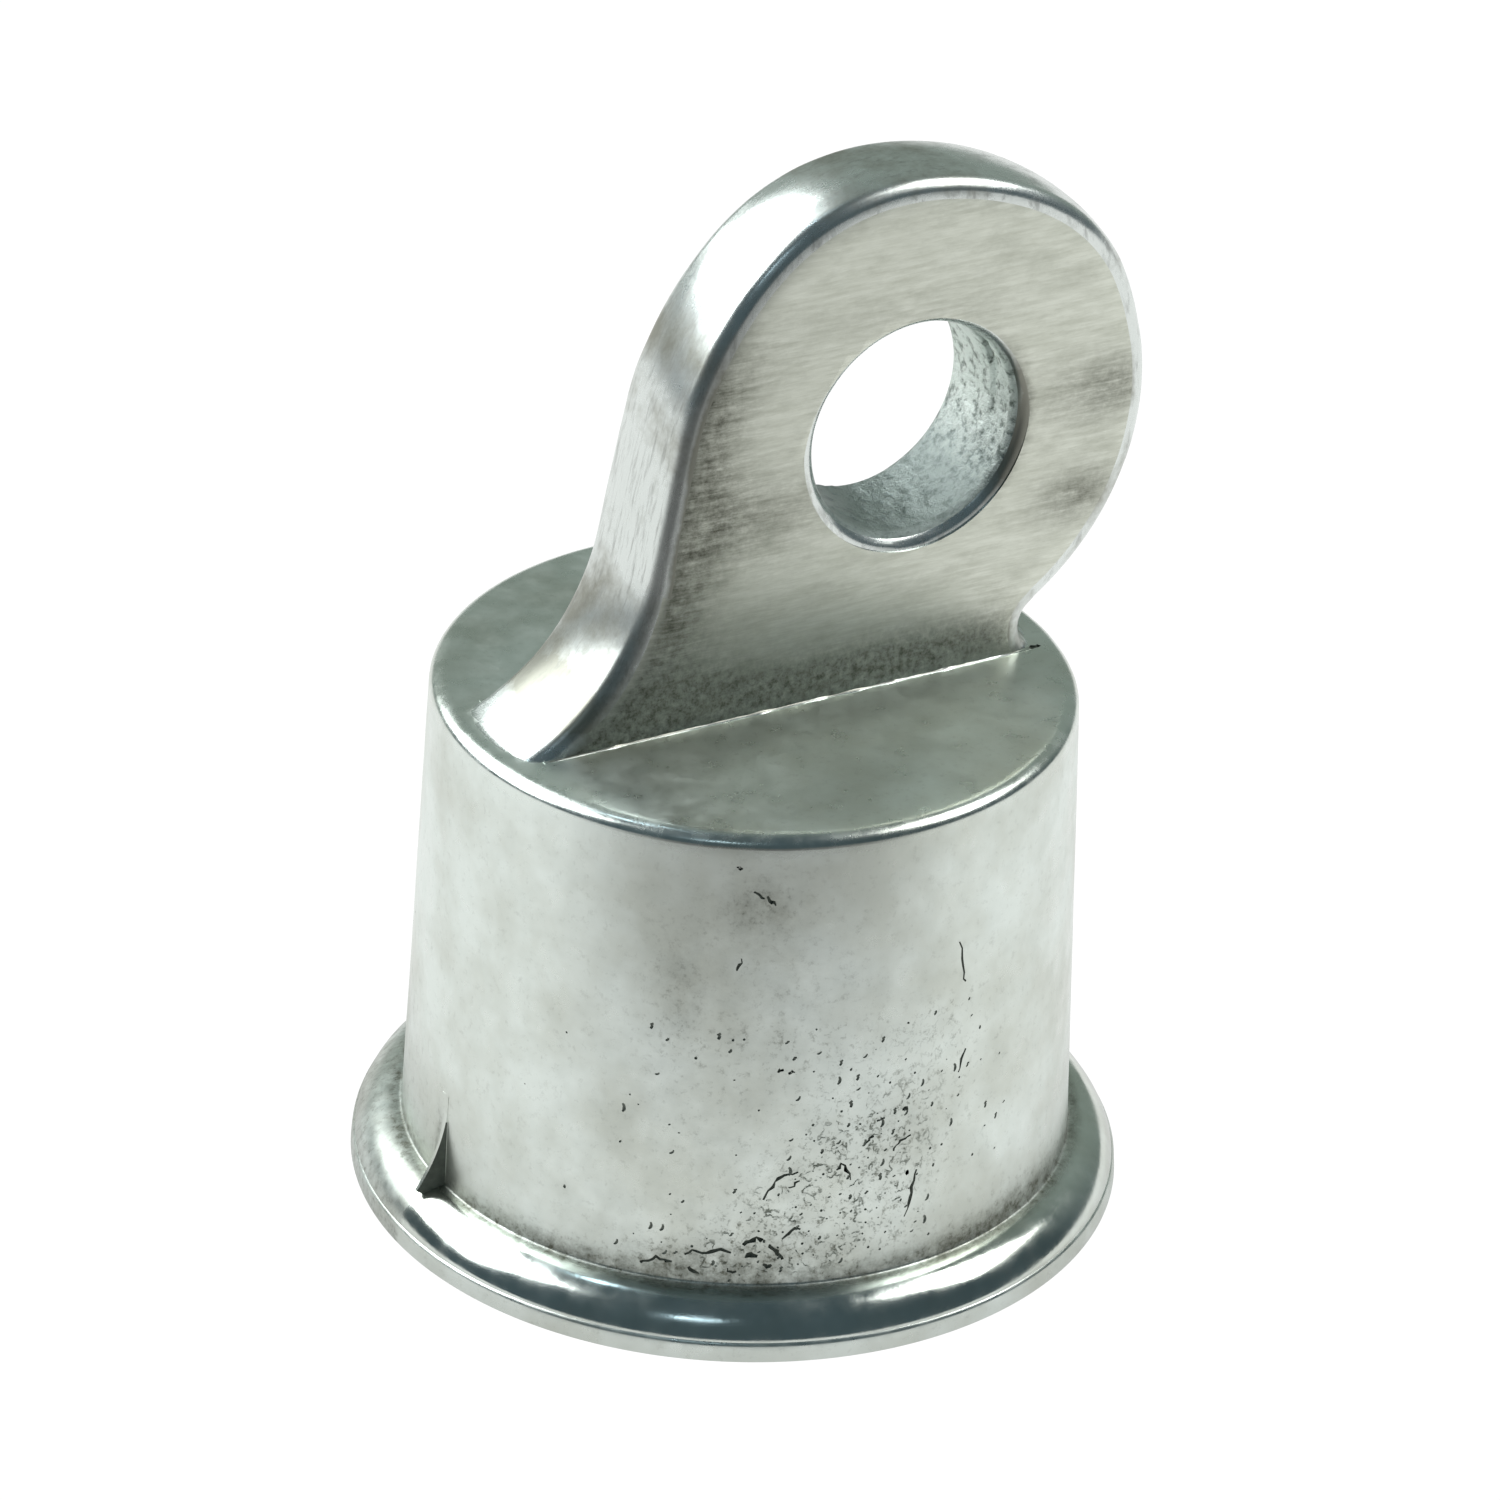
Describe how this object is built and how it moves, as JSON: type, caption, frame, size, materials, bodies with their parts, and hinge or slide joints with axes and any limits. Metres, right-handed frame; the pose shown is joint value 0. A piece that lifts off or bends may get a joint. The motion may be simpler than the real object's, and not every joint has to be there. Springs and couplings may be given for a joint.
{
  "type": "rail end",
  "caption": "Cast aluminium rail end for a chain-link fence: a flanged round cup, open at the bottom, with an offset flat bolt eye standing on its closed end.",
  "frame": {"origin": "centre of the cup's mouth, in the plane of the mouth rim", "axes": "+Z along the cup's axis, from the mouth towards the eye; +X towards the side that the eye is offset to; the eye lies in the XZ plane and its bolt hole runs along Y"},
  "size_m": [0.0476, 0.047, 0.0654],
  "materials": {
    "cast_aluminium": "cast aluminium, tumbled to a satin, burnished on the rounded edges and the flange"
  },
  "bodies": {
    "root": {"rail_end_casting": "cast_aluminium"}
  },
  "joints": []
}
